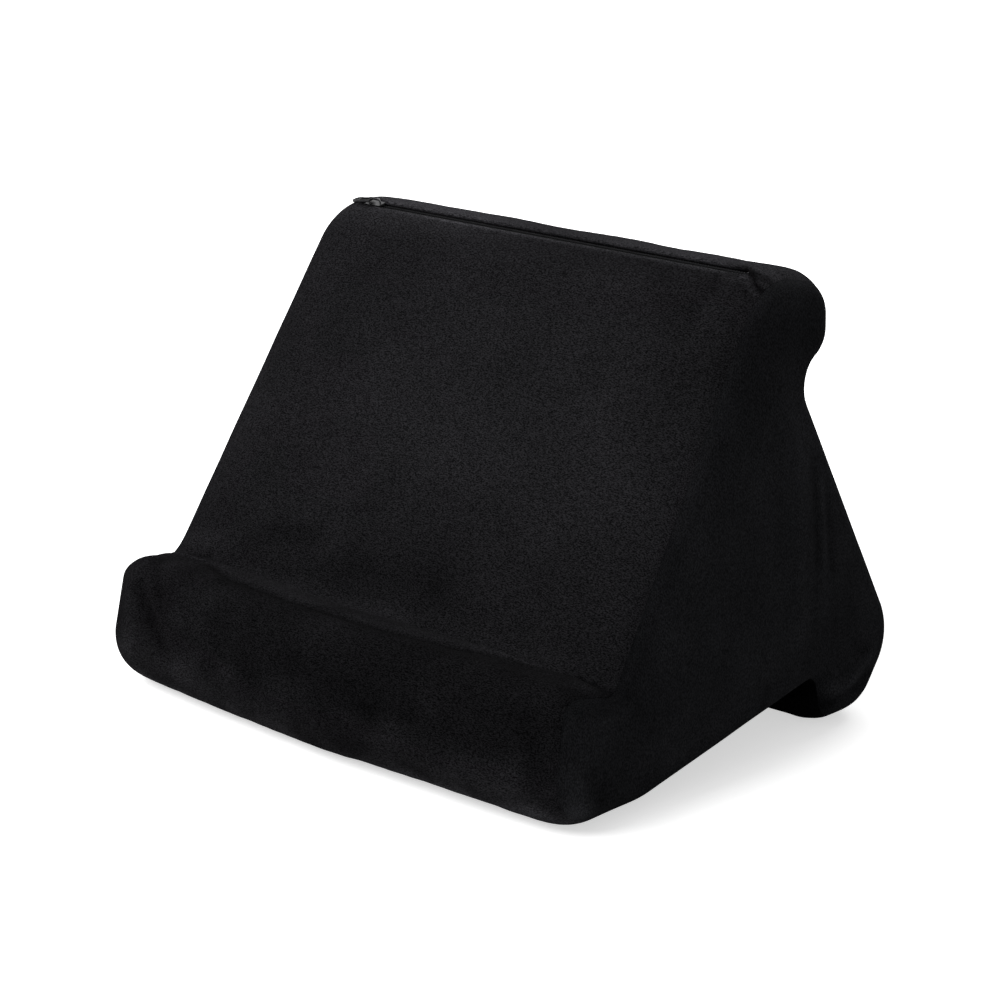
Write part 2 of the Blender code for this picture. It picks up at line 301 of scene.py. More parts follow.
def grid_object(name, points, uvs, material):
    """An object of quads from a grid of points."""
    rows, columns = points.shape[:2]
    index = np.arange(rows * columns).reshape(rows, columns)
    quads = np.stack([index[:-1, :-1], index[1:, :-1], index[1:, 1:], index[:-1, 1:]], -1)
    faces = quads.reshape(-1, 4).tolist()
    return mesh_object(name, points.reshape(-1, 3), faces, uvs.reshape(-1, 2), material)


def ring_faces(rings, count):
    """Quads from each closed ring of points to the next."""
    faces = []
    for row in range(rings - 1):
        a, b = row * count, (row + 1) * count
        for i in range(count):
            j = (i + 1) % count
            faces.append([a + i, b + i, b + j, a + j])
    return faces


def mesh_object(name, points, faces, uvs, material):
    """A smooth-shaded object in the scene, with one UV for each point if they are given."""
    mesh = bpy.data.meshes.new(name)
    mesh.from_pydata(points.tolist(), [], faces)
    if uvs is not None:
        layer = mesh.uv_layers.new(name="UVMap")
        corners = np.empty(len(mesh.loops), np.int32)
        mesh.loops.foreach_get("vertex_index", corners)
        layer.data.foreach_set("uv", np.asarray(uvs)[corners].astype(np.float32).ravel())
    mesh.shade_smooth()
    mesh.materials.append(material)
    obj = bpy.data.objects.new(name, mesh)
    bpy.context.scene.collection.objects.link(obj)
    return obj


# Places on the band, in metres up the face from the seat crease
FACE_LIGHTENS = (0.004, 0.100)
FACE_TOP = (0.100, 0.150)
FACE_MIDDLE = 0.110
FACE_RIGHT = (0.060, 0.120, 0.20, 0.28)
BROW = (0.175, 0.205, 0.225, 0.27)
FRONT_HEM = 0.1976
BEHIND_ZIP = (0.2035, 0.2055, 0.222, 0.262)
CREASE_BOTTOM = -0.0004

# The same, down over the ledge and round under the cushion
LEDGE_FRONT = (0.054, 0.074)
LEDGE_FOOT = (0.079, 0.100)
UNDERSIDE = (0.115, 0.150)
UNDER_HEEL = (0.27, 0.29)
BACK = (0.29, 0.385)

# Folds, hollows and patches of the band: from x and distance up from the seat crease,
# to x and distance, width, height, change of shade; the change is painted light on folds and rims,
# painted shade in hollows and creases, and lighter or darker tone over the patches
BAND_MARKS = (
    (-0.095, -0.001, 0.020, 0.004, 0.0048, 0.0008, 0.30),
    (0.030, 0.008, 0.120, 0.008, 0.0035, 0.0008, 0.12),
    (-0.080, 0.024, -0.055, 0.028, 0.0070, -0.0015, -0.20),
    (-0.025, 0.020, 0.030, 0.021, 0.0100, -0.0018, -0.14),
    (-0.130, 0.0000, -0.114, 0.0055, 0.0014, -0.0010, -0.38),
    (-0.136, 0.0110, -0.100, 0.0140, 0.0055, 0.0003, 0.42),
    (-0.070, -0.0060, -0.030, -0.0120, 0.0050, 0.0003, 0.18),
    (0.065, -0.0040, 0.095, -0.0020, 0.0055, 0.0003, 0.26),
    (-0.125, 0.0400, -0.100, 0.0400, 0.0140, 0.0, 0.16),
    (-0.085, -0.0240, -0.068, -0.0280, 0.0070, 0.0, 0.24),
    (-0.120, 0.014, -0.085, 0.030, 0.0050, 0.0008, 0.05),
    (0.134, -0.0095, 0.139, -0.0060, 0.0032, 0.0005, 0.50),
    (-0.1235, -0.021, -0.106, -0.038, 0.0030, -0.0007, -0.32),
    (-0.1225, -0.037, -0.111, -0.051, 0.0045, -0.0008, -0.30),
    (-0.111, -0.051, -0.097, -0.067, 0.0045, -0.0007, -0.26),
    (-0.130, -0.035, -0.127, -0.070, 0.0070, 0.0006, 0.40),
    (-0.092, -0.044, -0.078, -0.046, 0.0060, 0.0004, 0.28),
    (-0.078, -0.058, -0.052, -0.063, 0.0060, 0.0003, 0.22),
    (-0.040, -0.060, -0.005, -0.070, 0.0085, -0.0002, -0.24),
    (-0.138, -0.008, -0.112, -0.015, 0.0080, 0.0002, 0.38),
    (0.104, 0.172, 0.110, 0.195, 0.0085, 0.0004, -0.18),
    (0.112, 0.110, 0.124, 0.190, 0.0022, -0.0005, -0.12),
    (0.070, 0.168, 0.100, 0.176, 0.0080, -0.0003, -0.12),
    (0.126, -0.040, 0.134, -0.064, 0.0090, 0.0003, -0.30),
    (0.000, -0.064, 0.032, -0.078, 0.0110, 0.0, -0.38),
    (0.078, -0.079, 0.088, -0.079, 0.0060, 0.0, 0.50),
    (-0.005, -0.042, 0.038, -0.050, 0.0130, 0.0, -0.20),
    (-0.110, -0.068, -0.072, -0.079, 0.0060, 0.0, 0.35),
    (0.105, -0.080, 0.130, -0.082, 0.0070, 0.0, 0.50),
    (0.078, 0.192, 0.098, 0.165, 0.0090, 0.0, -0.17),
    (0.128, 0.172, 0.131, 0.150, 0.0050, 0.0, -0.18),
    (-0.128, -0.024, -0.106, -0.024, 0.0070, 0.0, 0.28),
    (-0.090, 0.036, -0.062, 0.038, 0.0060, 0.0, 0.15),
    (0.014, -0.062, 0.044, -0.058, 0.0080, 0.0, -0.27),
    (-0.055, -0.080, -0.025, -0.082, 0.0060, 0.0, 0.28),
    (-0.010, -0.0070, 0.020, -0.0075, 0.0050, 0.0, -0.23),
    (0.134, -0.014, 0.142, 0.002, 0.0060, 0.0, 0.18),
    (0.106, -0.076, 0.141, -0.069, 0.0060, 0.0, 0.20),
    (0.100, 0.200, 0.116, 0.198, 0.0040, 0.0, 0.35),
)

# The same for an end: from a distance behind the middle and a height up, to another,
# then width, height, change of shade: painted light on ridges, painted shade in grooves, tone over
# patches
END_MARKS = (
    (0.0470, 0.128, 0.0455, 0.050, 0.0065, 0.0006, 0.16),
    (0.0600, 0.132, 0.0585, 0.085, 0.0026, -0.0008, -0.24),
    (0.0700, 0.132, 0.0690, 0.080, 0.0028, -0.0007, -0.22),
    (0.0650, 0.120, 0.0620, 0.060, 0.0040, 0.0004, 0.27),
    (0.0750, 0.080, 0.0770, 0.045, 0.0040, 0.0003, 0.10),
    (0.0720, 0.0185, 0.0870, 0.0210, 0.0040, 0.0012, 0.35),
    (0.0870, 0.0210, 0.1010, 0.0270, 0.0040, 0.0012, 0.40),
    (0.0730, 0.0130, 0.0890, 0.0150, 0.0026, -0.0010, -0.30),
    (0.0890, 0.0150, 0.1020, 0.0210, 0.0026, -0.0010, -0.30),
    (0.0890, 0.0370, 0.0960, 0.0330, 0.0040, -0.0008, -0.25),
    (0.0230, 0.0330, 0.0200, 0.0230, 0.0030, -0.0006, -0.25),
    (-0.0700, 0.0560, -0.0640, 0.0480, 0.0030, -0.0006, -0.25),
    (-0.0920, 0.0190, -0.0910, 0.0120, 0.0040, -0.0004, -0.25),
    (-0.1070, 0.0300, -0.1040, 0.0100, 0.0060, 0.0004, 0.60),
    (0.0700, 0.0200, 0.0900, 0.0120, 0.0050, 0.0, 0.30),
    (-0.0500, 0.1200, -0.0150, 0.1650, 0.0060, -0.0003, -0.08),
    (0.0300, 0.1900, 0.0420, 0.1500, 0.0050, 0.0004, 0.06),
    (0.0020, 0.1600, 0.0100, 0.1800, 0.0090, 0.0, 0.27),
    (0.0440, 0.0260, 0.0700, 0.0200, 0.0060, 0.0, 0.22),
    (-0.0440, 0.0750, -0.0220, 0.1100, 0.0160, 0.0, 0.20),
    (0.0840, 0.0750, 0.0850, 0.0500, 0.0080, 0.0, -0.15),
    (-0.1060, 0.0500, -0.1000, 0.0380, 0.0080, 0.0, 0.20),
    (-0.0450, 0.0200, -0.0150, 0.0260, 0.0060, 0.0, 0.16),
    (-0.1030, 0.0120, -0.0950, 0.0060, 0.0060, 0.0, 0.35),
)


# The band of the cover

def hem_runs(x):
    """Where the front and rear hems lie round the section at station x."""
    middle = BROW_RUN + ZIP_FROM_BROW
    past = abs(x) * (1 - END_LEAN * RIDGE_HEIGHT / HALF) - ZIP_HALF
    start, stop, drop = RIGHT_CLOSING if x > 0 else LEFT_CLOSING
    closing = rise(past, start, stop)
    turn_down = drop * min(1.0, max(0.0, past - TURN_DOWN_FROM) / TURN_DOWN_OVER) ** 1.7
    roll = HEM_ROLL * (1 - 0.75 * rise(max(0.0, past), *ROLL_THINS))
    gap = 2 * roll + (ZIP_GAP - 2 * HEM_ROLL) * (1 - closing)
    return middle - gap / 2 - turn_down, middle + gap / 2 - turn_down, roll


def band_stations():
    """(x, section depth) of the band's rows, closer together where the hems close."""
    turns = np.linspace(0, SEAM_TURN, 17)
    rim = [rim_station(turn) for turn in np.append(turns[:7], turns[8::2])]
    straight = HALF - RIM_LENGTH
    count = round(2 * straight / STATION_STEP)
    return mirrored(rim, [(straight * (2 * k / count - 1), 0.0) for k in range(1, count)])


def build_band(material, swell):
    """The strip of plush from the front hem right round to the rear one."""
    stations = band_stations()
    share = np.linspace(0, 1, COUNT + 1)
    middle = index_at(BROW_RUN + ZIP_FROM_BROW)
    columns_moved = 16.0
    rows, runs, rolls = [], [], []
    for x, depth in stations:
        front, rear, roll = hem_runs(x)
        rolls.append(roll)
        start, stop = index_at(rear), index_at(front) + COUNT
        plain = middle + share * COUNT
        near_start = np.exp(-share * COUNT / columns_moved)
        near_stop = np.exp(-(1 - share) * COUNT / columns_moved)
        indices = plain + (start - middle) * near_start + (stop - middle - COUNT) * near_stop
        rows.append(place(x, sample(section(depth, bow_at(x)), indices)))
        runs.append(run_at(indices))
    points, runs = np.array(rows), np.array(runs)
    points = points + swollen(points.reshape(-1, 3), swell).reshape(points.shape)
    normals = grid_normals(points)
    xs = np.array([x for x, _ in stations])
    rims = np.clip((np.abs(xs) - (HALF - RIM_LENGTH)) / RIM_LENGTH, 0.0, 1.0)
    points = points + normals * band_relief(points, runs, xs, rims)[..., None]
    points[..., 2] = np.maximum(points[..., 2], 0)
    points, runs, ups = roll_hems(points, grid_normals(points), runs, np.array(rolls))
    points, runs = tuck_ends(points, runs, ups)
    uvs = np.stack([points[..., 0], runs], -1)
    band = grid_object("plush_band", points, uvs, material)
    index = np.arange(points.shape[0] * points.shape[1]).reshape(points.shape[:2])
    seams = index[[SEAM_STRIPS, -1 - SEAM_STRIPS]]
    sharp_seam(band, seams[:, :-1].ravel().tolist(), seams[:, 1:].ravel().tolist())
    set_tone_and_painted_light(band, band_tone_and_painted_light(points, runs).ravel())
    return band


def sharp_seam(obj, first, second):
    """Keeps the shading of the visible cloth apart from what is tucked in along these edges."""
    pairs = {tuple(sorted(pair)) for pair in zip(first, second)}
    mesh = obj.data
    ends = np.empty(len(mesh.edges) * 2, np.int32)
    mesh.edges.foreach_get("vertices", ends)
    sharp = [tuple(sorted(pair)) in pairs for pair in ends.reshape(-1, 2).tolist()]
    layer = mesh.attributes.new("sharp_edge", "BOOLEAN", "EDGE")
    layer.data.foreach_set("value", sharp)


def set_tone_and_painted_light(obj, values):
    """Stores at each point how light the pile is drawn: its tone, with painted light and shade."""
    layer = obj.data.attributes.new("tone_and_painted_light", "FLOAT", "POINT")
    layer.data.foreach_set("value", np.asarray(values, np.float32))


def band_tone_and_painted_light(points, runs):
    """Pile tone and painted light and shade round the band: full on the front face, dark over the
    ledge, light beneath.
    """
    x = points[..., 0]
    seat = seat_distance(runs)
    flat = points.reshape(-1, 3)
    drift = soft_noise(flat, 0.050, 11).reshape(x.shape)
    patch = soft_noise(flat, 0.018, 12).reshape(x.shape)
    # The face lightens upwards and darkens towards its right, painted light and shade, and the back is
    # light
    up = seat + 0.008 * drift
    shade = 0.66 + 0.33 * rise(up, *FACE_LIGHTENS) - 0.06 * rise(up, *FACE_TOP)
    behind = rise(-seat, *BACK)
    shade = shade * (1 - behind) + 0.93 * behind
    shade *= 1 - 0.14 * rise(x, 0.070, 0.125) * plateau(seat, *FACE_RIGHT)
    # The brow is lighter to the left, and the cloth behind the zip to the right carries painted light
    # from behind
    shade *= 1 + plateau(seat, *BROW) * (-0.12 + 0.90 * rise(-x + 0.01 * drift, -0.02, 0.07))
    lips = 0.60 + 0.95 * rise(x, -0.02, 0.06)
    shade *= 1 + lips * plateau(seat, *BEHIND_ZIP)
    # A painted highlight along the front hem's edge
    shade *= 1 + 1.4 * bell(seat, FRONT_HEM, 0.0013) * rise(x, -0.12, -0.06)
    shade *= 1 - 0.14 * bell(x, -0.095, 0.050) * bell(seat, FACE_MIDDLE, 0.070)
    # The ledge is darker than the face from its crease to its foot, partly tone and partly painted
    # shade, and lighter underneath
    crease = seat - crease_at(x)
    ledge = rise(-crease, -0.0005, 0.0022) * (1 - rise(-seat, *UNDER_HEEL))
    # A painted highlight on the cloth folded out over the crease
    shade *= 1 + 0.32 * rise(crease, 0.0003, 0.003) * (1 - rise(seat, -0.003, 0.005))
    below = -seat + 0.007 * patch + 0.006 * drift
    # Painted light from the ground below lightens the ledge's front and its foot
    over = 0.47 + 0.12 * rise(patch, -0.2, 0.7) + 0.38 * rise(below, *LEDGE_FRONT)
    over += 2.2 * rise(below, *LEDGE_FOOT)
    beneath = rise(below, *UNDERSIDE)
    over = over * (1 - beneath) + 0.75 * beneath
    shade = shade * (1 - ledge) + over * ledge
    # A painted shadow along the crease
    shade *= 1 - 0.46 * bell(crease, CREASE_BOTTOM, 0.0016) * rise(x, -0.120, -0.100)
    # Painted shade in the groove under the cushion
    shade *= 1 - 0.75 * bell(crease_distance(runs, "arch"), 0, 0.022)
    # Painted shade where the hems close past the zip, and a painted highlight on the front hem's edge
    # there
    columns = np.arange(x.shape[1])
    hems = np.minimum(columns, columns[::-1]) - HEM_STRIPS
    closed = rise(np.abs(x), 0.109, 0.114)
    shade *= 1 - 0.6 * (1 - rise(hems, 0, 1.6)) * closed
    shade *= 1 + 0.6 * bell(columns[::-1] - HEM_STRIPS, 2.5, 1.3) * closed * rise(x, 0, 0.05)
    # Each mark's painted light and shade
    for x0, s0, x1, s1, width, _, change in BAND_MARKS:
        shade *= 1 + change * bell(line_distance(x, seat, x0, s0, x1, s1), 0, width)
    return shade * (1 + 0.04 * drift + 0.05 * patch)


def seat_distance(runs):
    """Signed distance round the section from the seat crease: up the front face is positive."""
    away = runs - SEAT_RUN
    return np.where(away > RUN[-1] / 2, away - RUN[-1], away)


def crease_distance(runs, name):
    """Signed distance round the section from the middle of this corner."""
    return np.mod(runs - corner_run(name) + RUN[-1] / 2, RUN[-1]) - RUN[-1] / 2


def band_relief(points, runs, xs, rims):
    """How far the plush stands out from the plain form: crowns, creases, folds and puckers."""
    shape = points.shape[:2]
    flat = points.reshape(-1, 3)
    x = np.broadcast_to(xs[:, None], shape)
    # Unevenness of three sizes
    relief = 0.0009 * soft_noise(flat, 0.060, 1).reshape(shape)
    relief += 0.0005 * soft_noise(flat, 0.024, 2).reshape(shape)
    relief += 0.00016 * soft_noise(flat, 0.007, 3).reshape(shape)
    # The face's crown, and the creases that hold the cloth down
    seat = seat_distance(runs)
    across = 1 - (np.abs(x) / HALF) ** 2.5
    relief += 0.0008 * bell(seat, FACE_MIDDLE, 0.060) * across
    for name, depth, width in (("nape", 0.002, 0.006), ("arch", 0.002, 0.005)):
        relief -= depth * bell(crease_distance(runs, name), 0, width)
    crease = seat - crease_at(x)
    relief += 0.0009 * bell(crease, 0.0050, 0.0040)
    relief -= 0.0013 * bell(crease, CREASE_BOTTOM, 0.0018)
    for x0, s0, x1, s1, width, height, _ in BAND_MARKS:
        relief += height * bell(line_distance(x, seat, x0, s0, x1, s1), 0, width)
    # The end seams, with small puckers along them
    seam = np.broadcast_to(rims[:, None], shape)
    relief *= 1 - rise(seam, 0.30, 0.72)
    relief += seat_fill(seat)
    relief -= SEAM_DIP * rise(seam, 0.60, 0.76)
    pucker = np.sin(runs / 0.0052 + 3 * soft_noise(flat, 0.03, 4).reshape(shape))
    relief += 0.00007 * pucker * rise(seam, 0.25, 0.7)
    hems = np.minimum(np.arange(shape[1]), np.arange(shape[1])[::-1])
    return relief * rise(hems, 1, 9)


def seat_fill(seat):
    """How far the folded cloth stands up out of the seat's hollow."""
    return 0.0036 * bell(seat, -0.004, 0.0080)


def crease_at(x):
    """How far from the seat's middle the crease shows: the front's cloth folds out over the ledge."""
    return -0.0155 + 0.017 * rise(x, 0.03, 0.135) + 0.011 * rise(-x, 0.070, 0.118)


def line_distance(x, s, x0, s0, x1, s1):
    """Distance from the line between two places, in metres."""
    way = np.array([x1 - x0, s1 - s0])
    share = np.clip(((x - x0) * way[0] + (s - s0) * way[1]) / (way @ way), 0, 1)
    return np.hypot(x - x0 - share * way[0], s - s0 - share * way[1])


def roll_hems(points, normals, runs, rolls):
    """Adds the folded edge of each hem: round the fold, then back under the cloth."""
    extras = {}
    for edge, inner in ((0, 1), (-1, -2)):
        here = points[:, edge]
        out = here - points[:, inner]
        out /= np.linalg.norm(out, axis=1, keepdims=True)
        up = normals[:, edge]
        strips, places = [], []
        wide = rolls[:, None]
        sign = 1 if edge else -1
        for k in range(1, HEM_FOLD_STEPS + 1):
            turn = math.pi * k / HEM_FOLD_STEPS
            strips.append(here + out * wide * math.sin(turn) - up * wide * (1 - math.cos(turn)))
            places.append(runs[:, edge] + sign * rolls * turn)
        folded, folded_at = strips[-1], places[-1]
        for k in range(1, HEM_TUCK_STEPS + 1):
            strips.append(folded - out * HEM_TUCK * k / HEM_TUCK_STEPS - up * HEM_TUCK_DROP * k)
            places.append(folded_at + sign * HEM_TUCK * k / HEM_TUCK_STEPS)
        extras[edge] = (strips, places)
    first, last = extras[0], extras[-1]
    points = np.concatenate([np.stack(first[0][::-1], 1), points, np.stack(last[0], 1)], 1)
    runs = np.concatenate([np.stack(first[1][::-1], 1), runs, np.stack(last[1], 1)], 1)
    first_up = np.repeat(normals[:, :1], HEM_STRIPS, 1)
    last_up = np.repeat(normals[:, -1:], HEM_STRIPS, 1)
    return points, runs, np.concatenate([first_up, normals, last_up], 1)


def tuck_ends(points, runs, ups):
    """Turns the band's two end edges in under the seam."""
    parts, places = [points], [runs]
    for edge, inner, at_start in ((0, 1, True), (-1, -2, False)):
        here = points[edge]
        out = here - points[inner]
        out /= np.maximum(np.linalg.norm(out, axis=1, keepdims=True), 1e-9)
        up = ups[edge]
        strips = []
        for k in range(1, SEAM_STRIPS):
            turn = math.pi / 2 * k / (SEAM_STRIPS - 1)
            outward = out * SEAM_ROLL_OUT * math.sin(turn)
            strips.append(here + outward - up * SEAM_ROLL_DOWN * (1 - math.cos(turn)))
        strips.append(strips[-1] - up * SEAM_TUCK)
        strips = np.array(strips)
        copies = np.repeat(runs[edge][None], len(strips), 0)
        parts = [strips[::-1]] + parts if at_start else parts + [strips]
        places = [copies] + places if at_start else places + [copies]
    return np.concatenate(parts), np.concatenate(places)


# The end panels

def fill_outline(edge):
    """Flat points and triangles inside a closed outline, and which given points each came from."""
    low, high = edge.min(0), edge.max(0)
    spots = []
    for row, up in enumerate(np.arange(low[1], high[1], PANEL_GRID * 0.87)):
        for behind in np.arange(low[0], high[0], PANEL_GRID):
            spots.append((behind + (row % 2) * PANEL_GRID / 2, up))
    spots = np.array(spots)
    spots = spots[polygon_distance(spots, edge) > PANEL_GRID * 0.6]
    given = [Vector(p) for p in edge] + [Vector(p) for p in spots]
    loop = [(i, (i + 1) % COUNT) for i in range(COUNT)]
    made = delaunay_2d_cdt(given, loop, [list(range(COUNT))], 1, 1e-7)
    return np.array([tuple(p) for p in made[0]]), made[2], made[3]


def drop_unused(points, faces):
    """The points that the faces use, and the faces with those points' new numbers."""
    used = sorted({v for face in faces for v in face})
    renumber = {v: i for i, v in enumerate(used)}
    return points[used], [[renumber[v] for v in face] for face in faces]


def build_end(name, way, material, swell):
    """One end panel: round the rim from its seam, then across the flat in one triangulation."""
    turns = np.linspace(SEAM_TURN, math.pi / 2, 8)
    rings = []
    for turn in turns:
        x, depth = rim_station(turn)
        rings.append(place(way * x, section(depth, bow_at(x))))
    rings = np.array(rings)
    rings += swollen(rings.reshape(-1, 3), swell).reshape(rings.shape)
    edge = section(RIM_DEPTH, 0.0)
    flat, triangles, came_from = fill_outline(edge)
    cap = place(way * HALF, flat)
    cap += swollen(cap, swell)
    cap[:, 0] += way * end_relief(cap, np.maximum(polygon_distance(flat, edge), 0))
    rows = len(turns)
    body = rings.reshape(-1, 3)
    fade = np.linspace(0, 1, rows)[:, None]
    wobble = 0.0005 * soft_noise(body, 0.024, 5).reshape(rows, -1) * fade
    normals = grid_normals(rings) * (1 if way > 0 else -1)
    dip = -SEAM_DIP * (1 - rise(fade, 0.0, 0.3))
    fill = seat_fill(seat_distance(RUN[:-1]))[None, :] * (1 - fade)
    body = (rings + normals * (wobble + dip + fill)[..., None]).reshape(-1, 3)
    tuck = body[:COUNT] - normals[0] * SEAM_TUCK - (rings[1] - rings[0]) * 0.4
    points = np.concatenate([tuck, body, cap])
    points[:, 2] = np.maximum(points[:, 2], 0)
    offset = (rows + 1) * COUNT
    match = {}
    for new, olds in enumerate(came_from):
        for old in olds:
            if old < COUNT:
                match[new] = rows * COUNT + old
    faces = ring_faces(rows + 1, COUNT)
    faces += [[match.get(v, offset + v) for v in face] for face in triangles]
    if way < 0:
        faces = [face[::-1] for face in faces]
    points, faces = drop_unused(points, faces)
    panel = mesh_object(name, points, faces, points[:, [2, 1]], material)
    seam = list(range(COUNT, 2 * COUNT))
    sharp_seam(panel, seam, seam[1:] + seam[:1])
    set_tone_and_painted_light(panel, end_tone_and_painted_light(points, mesh_points(panel.data, "normal")))
    return panel


def end_tone_and_painted_light(points, normals):
    """Pile tone and painted light on an end: soft upright streaks and patches, with painted shade where
    it turns towards the front light.
    """
    streaks = soft_noise(points * np.array([1.0, 1.0, 0.25]), 0.014, 14)
    patches = soft_noise(points, 0.020, 15)
    back, up = points[:, 1], points[:, 2]
    # Painted shade where the end turns towards the front light
    forwards = np.clip(normals @ np.array([0.0, -0.75, 0.66]), 0, 1)
    darker = (0.62 - 0.20 * rise(up, *END_FOOT)) * forwards
    shade = 1.13 * (1 - darker) * (1 + 0.10 * streaks + 0.10 * patches)
    # Painted light along the top; darker just under it and low at the back, lighter across the middle
    shade *= 1 + 0.35 * rise(up, *END_TOP) - 0.18 * bell(up, END_UNDER_TOP, 0.022)
    shade *= 1 - 0.05 * rise(back, 0.040, 0.075) * (1 - rise(up, 0.110, 0.140))
    shade *= 1 + 0.10 * bell(up, END_MIDDLE, 0.030)
    # Each mark's painted light and shade
    for y0, z0, y1, z1, width, _, change in END_MARKS:
        shade *= 1 + change * bell(line_distance(back, up, y0, z0, y1, z1), 0, width)
    return shade


def zip_point(along, across, out):
    """A place on the zip: along the ridge, across to the rear, out of the cloth."""
    back = ZIP_SEAT[0] + ACROSS[0] * across + OUTWARD[0] * out
    up = ZIP_SEAT[1] + ACROSS[1] * across + OUTWARD[1] * out
    return np.stack([along, back, up], -1)


def build_coil(name, side, material):
    """One row of the coil: an oval spring of nylon wire along its tape."""
    turns = round(2 * ZIP_HALF / COIL_PITCH)
    angles = np.linspace(0, 2 * math.pi * turns, turns * COIL_STEPS + 1)
    if side > 0:
        angles = angles + math.pi
    along = np.linspace(-ZIP_HALF - COIL_PAST_ZIP, ZIP_HALF + COIL_PAST_ZIP, len(angles))
    across = side * COIL_APART + (COIL_HALF_WIDTH - COIL_WIRE) * np.cos(angles)
    out = -COIL_DEPTH + (COIL_HALF_HEIGHT - COIL_WIRE) * np.sin(angles)
    centres = zip_point(along, across, out)
    ways = np.gradient(centres, axis=0)
    ways /= np.linalg.norm(ways, axis=1, keepdims=True)
    none = 0 * along
    spokes = zip_point(none, across - side * COIL_APART, out + COIL_DEPTH) - zip_point(none, none, none)
    spokes -= ways * np.sum(spokes * ways, axis=1, keepdims=True)
    spokes /= np.linalg.norm(spokes, axis=1, keepdims=True)
    others = np.cross(ways, spokes)
    points = []
    for k in range(COIL_SIDES):
        turn = 2 * math.pi * k / COIL_SIDES
        points.append(centres + COIL_WIRE * (spokes * math.cos(turn) + others * math.sin(turn)))
    points = np.stack(points, 1)
    index = np.arange(points.shape[0] * COIL_SIDES).reshape(-1, COIL_SIDES)
    after = np.roll(index, -1, axis=1)
    quads = np.stack([index[:-1], after[:-1], after[1:], index[1:]], -1).reshape(-1, 4).tolist()
    quads += [index[0][::-1].tolist(), index[-1].tolist()]
    return mesh_object(name, points.reshape(-1, 3), quads, None, material)


def closed_loft(name, stations, every, material):
    """The cushion's form from coarse sections, closed at both ends."""
    picks = np.arange(0, COUNT, every)
    rings = np.array([place(x, section(depth, bow_at(x))[picks]) for x, depth in stations])
    count, total = len(picks), len(stations) * len(picks)
    ends = [list(range(count)), list(range(total - count, total))[::-1]]
    faces = ends + ring_faces(len(stations), count)
    return mesh_object(name, rings.reshape(-1, 3), faces, None, material)


def build_core(material):
    """The foam block under the cover, with its corners rounded like the cover's."""
    rim = [rim_station(turn) for turn in np.linspace(0, math.pi / 2, 8)]
    stations = mirrored([(x - FOAM_SHORTER, depth + FOAM_DEEPER) for x, depth in rim])
    return closed_loft("foam_block", stations, 3, material)


# The cover, swollen over its foam

def simulate_cover(material):
    """Presses a coarse cloth cover out from inside; gives its places and how far each one moves.

    The foam keeps the cloth from moving in, so only the outward part counts.
    """
    rim = [rim_station(turn) for turn in np.linspace(0, math.pi / 2, 6)]
    straight = HALF - RIM_LENGTH
    span = [(x, 0.0) for x in np.linspace(-straight, straight, 40)[1:-1]]
    cover = closed_loft("cloth_cover", mirrored(rim, span), 2, material)
    remesh = cover.modifiers.new("even_cloth", "REMESH")
    remesh.mode = "VOXEL"
    remesh.voxel_size = CLOTH_GRID
    cover.data = bpy.data.meshes.new_from_object(evaluated(cover))
    cover.modifiers.clear()
    cloth = cover.modifiers.new("stuffed_cloth", "CLOTH")
    cloth.settings.use_pressure = True
    cloth.settings.uniform_pressure_force = CLOTH_PRESSURE
    cloth.settings.effector_weights.gravity = 0
    cloth.settings.bending_stiffness = CLOTH_STIFFNESS
    cloth.point_cache.frame_start = 1
    cloth.point_cache.frame_end = CLOTH_STEPS
    before = mesh_points(cover.data)
    scene = bpy.context.scene
    for step in range(1, CLOTH_STEPS + 1):
        scene.frame_set(step)
    after = mesh_points(evaluated(cover).data)
    scene.frame_set(1)
    outward = mesh_points(cover.data, "normal")
    moves = after - before
    moves -= moves.mean(0)
    far = np.sum(moves * outward, axis=1, keepdims=True)
    moves = outward * np.clip(far, 0, CLOTH_REACH)
    bpy.data.objects.remove(cover)
    tree = KDTree(len(before))
    for i, spot in enumerate(before):
        tree.insert(spot, i)
    tree.balance()
    return tree, moves


def evaluated(obj):
    """The object with its modifiers at the present frame."""
    return obj.evaluated_get(bpy.context.evaluated_depsgraph_get())


def mesh_points(mesh, kind="co"):
    """The places, or the normals, of a mesh's points."""
    places = np.empty(len(mesh.vertices) * 3, np.float32)
    mesh.vertices.foreach_get(kind, places)
    return places.reshape(-1, 3).astype(float)


def swollen(points, swell):
    """How far the simulated cloth moves at each point; the creases and the zip hold it down."""
    tree, moves = swell
    result = np.empty((len(points), 3))
    for i, spot in enumerate(points):
        near = tree.find_n(spot, CLOTH_NEIGHBOURS)
        weights = np.array([math.exp(-(distance / CLOTH_GRID) ** 2) + 1e-6 for _, _, distance in near])
        result[i] = weights @ moves[[index for _, index, _ in near]] / weights.sum()
    away = np.hypot(points[:, 1] - ZIP_SEAT[0], points[:, 2] - ZIP_SEAT[1])
    held = bell(away, 0, HELD_BY_ZIP)
    for name in ("seat", "nape", "arch"):
        behind, up, _ = CORNERS[name]
        away = np.hypot(points[:, 1] + MIDDLE - behind, points[:, 2] - up)
        held = np.maximum(held, 0.9 * bell(away, 0, HELD_BY_CREASE))
    return result * (1 - held)[:, None]


